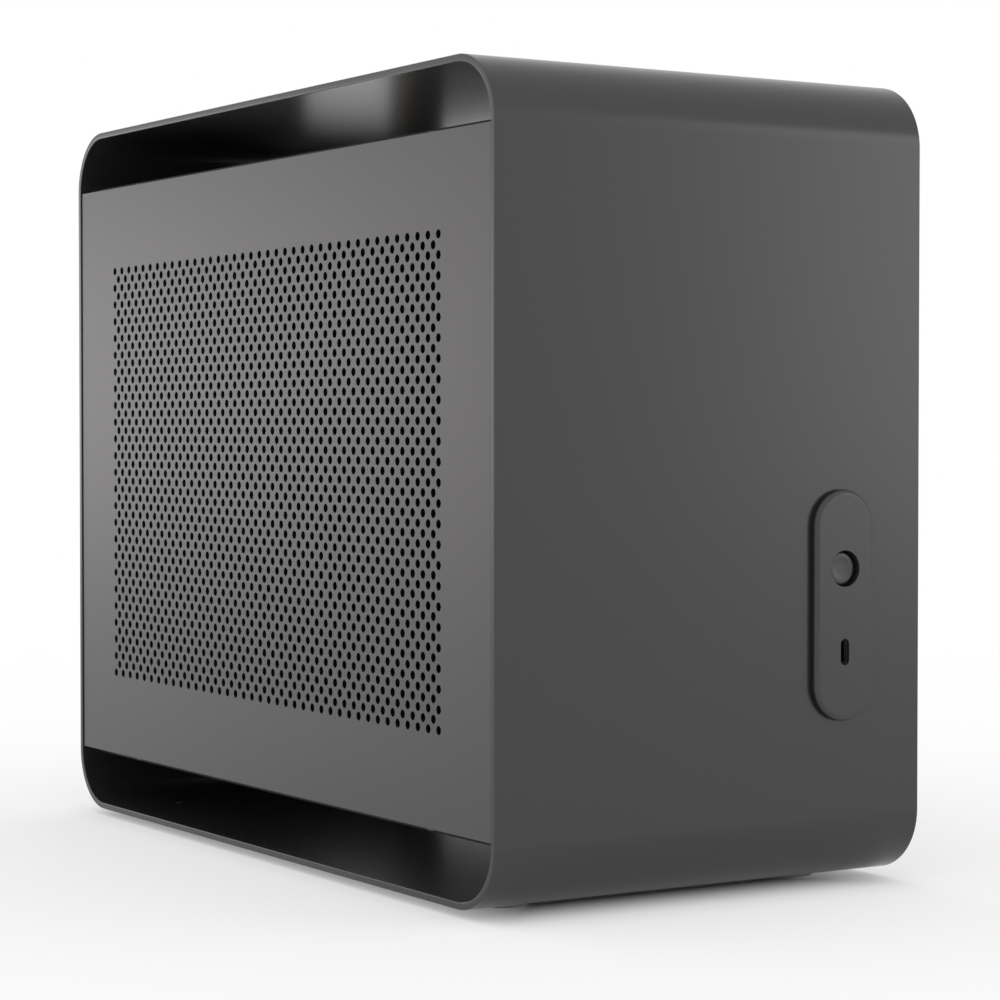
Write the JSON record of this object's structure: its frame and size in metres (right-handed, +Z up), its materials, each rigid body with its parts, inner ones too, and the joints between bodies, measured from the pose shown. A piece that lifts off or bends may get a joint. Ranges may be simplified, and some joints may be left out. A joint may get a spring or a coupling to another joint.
{
  "type": "mini-itx computer case",
  "caption": "Upright mini-itx computer case: rounded extruded wrap open at both sides, perforated pull-off side panels, inner rails, board tray and a front control block.",
  "frame": {"origin": "centre of the bounding box at the underside of the feet", "axes": "+Z up, -Y the front face with the control block, +Y the rear face, -X and +X the open sides with the panels"},
  "size_m": [0.18, 0.346, 0.289],
  "materials": {
    "anodised": "matte dark grey anodised",
    "black_coat": "fine matte black powder coat",
    "black_plastic": "matte moulded",
    "rubber_foot": "matte",
    "steel": "zinc plated",
    "brass_part": "turned",
    "circuit_board": "solder mask"
  },
  "bodies": {
    "case": {"wrap": "anodised", "left_catches": "black_plastic", "right_catches": "black_plastic", "control_base": "black_plastic", "control_cover": "anodised", "control_bracket": "black_coat", "control_board": "circuit_board", "switch_body": "black_plastic", "usb_socket": "steel", "usb_tongue": "black_plastic", "lead_header": "black_plastic", "control_screws": "steel", "top_left_rail": "black_coat", "bottom_left_rail": "black_coat", "top_right_rail": "black_coat", "bottom_right_rail": "black_coat", "weld_studs": "steel", "nuts": "steel", "left_upright": "black_coat", "right_upright": "black_coat", "carrier_screws": "steel", "supply_bracket": "black_coat", "drive_plate": "black_coat", "board_tray": "black_coat", "board_standoffs": "brass_part", "slot_bracket": "black_coat", "upper_slot_cover": "anodised", "lower_slot_cover": "anodised", "slot_screws": "steel", "mains_inlet": "black_plastic", "inlet_blades": "brass_part", "inlet_screws": "steel", "front_left_foot": "rubber_foot", "front_right_foot": "rubber_foot", "rear_left_foot": "rubber_foot", "rear_right_foot": "rubber_foot", "foot_screws": "steel"},
    "left_panel": {"left_panel": "anodised", "left_panel_studs": "steel"},
    "right_panel": {"right_panel": "anodised", "right_panel_studs": "steel"},
    "power_button": {"power_button": "anodised", "switch_plunger": "steel"}
  },
  "joints": [
    {"name": "left_panel_off", "type": "slide", "parent": "case", "child": "left_panel", "axis": [-1, 0, 0], "range_m": [0, 0.12]},
    {"name": "right_panel_off", "type": "slide", "parent": "case", "child": "right_panel", "axis": [1, 0, 0], "range_m": [0, 0.12]},
    {"name": "power_button_press", "type": "slide", "parent": "case", "child": "power_button", "axis": [0, 1, 0], "range_m": [0, 0.001], "stiffness_N_per_m": 800, "springref_m": -0.001}
  ]
}
